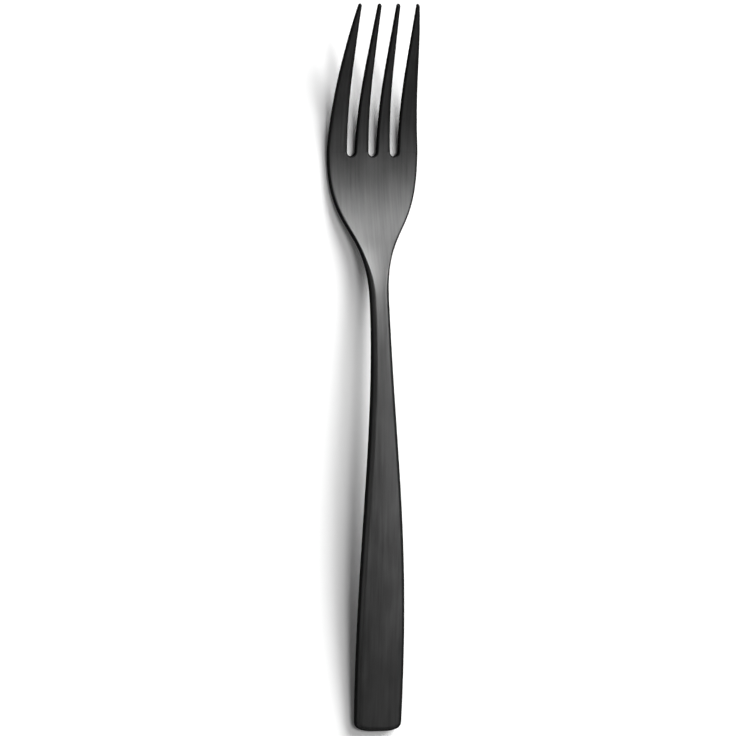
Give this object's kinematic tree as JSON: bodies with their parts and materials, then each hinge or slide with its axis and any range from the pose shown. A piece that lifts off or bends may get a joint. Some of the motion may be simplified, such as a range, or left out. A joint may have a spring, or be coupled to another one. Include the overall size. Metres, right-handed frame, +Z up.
{
  "type": "cake fork",
  "caption": "Slim one-piece table fork for cake: tapered tines with open slots, upswept head, narrow neck and a flat arched handle with a rounded end, satin black steel.",
  "frame": {"origin": "centre of the footprint, on the table plane that the back of the bowl and the handle end rest on", "axes": "+Y along the fork towards the tine tips, +Z up away from the table, +X to the right when the tines point away from the viewer"},
  "size_m": [0.0202, 0.155, 0.0131],
  "materials": {
    "black_steel": "stainless steel with a satin black coating, brushed along its length"
  },
  "bodies": {
    "root": {"handle": "black_steel", "neck": "black_steel", "bowl": "black_steel", "tine_outer_left": "black_steel", "tine_inner_left": "black_steel", "tine_inner_right": "black_steel", "tine_outer_right": "black_steel"}
  },
  "joints": []
}
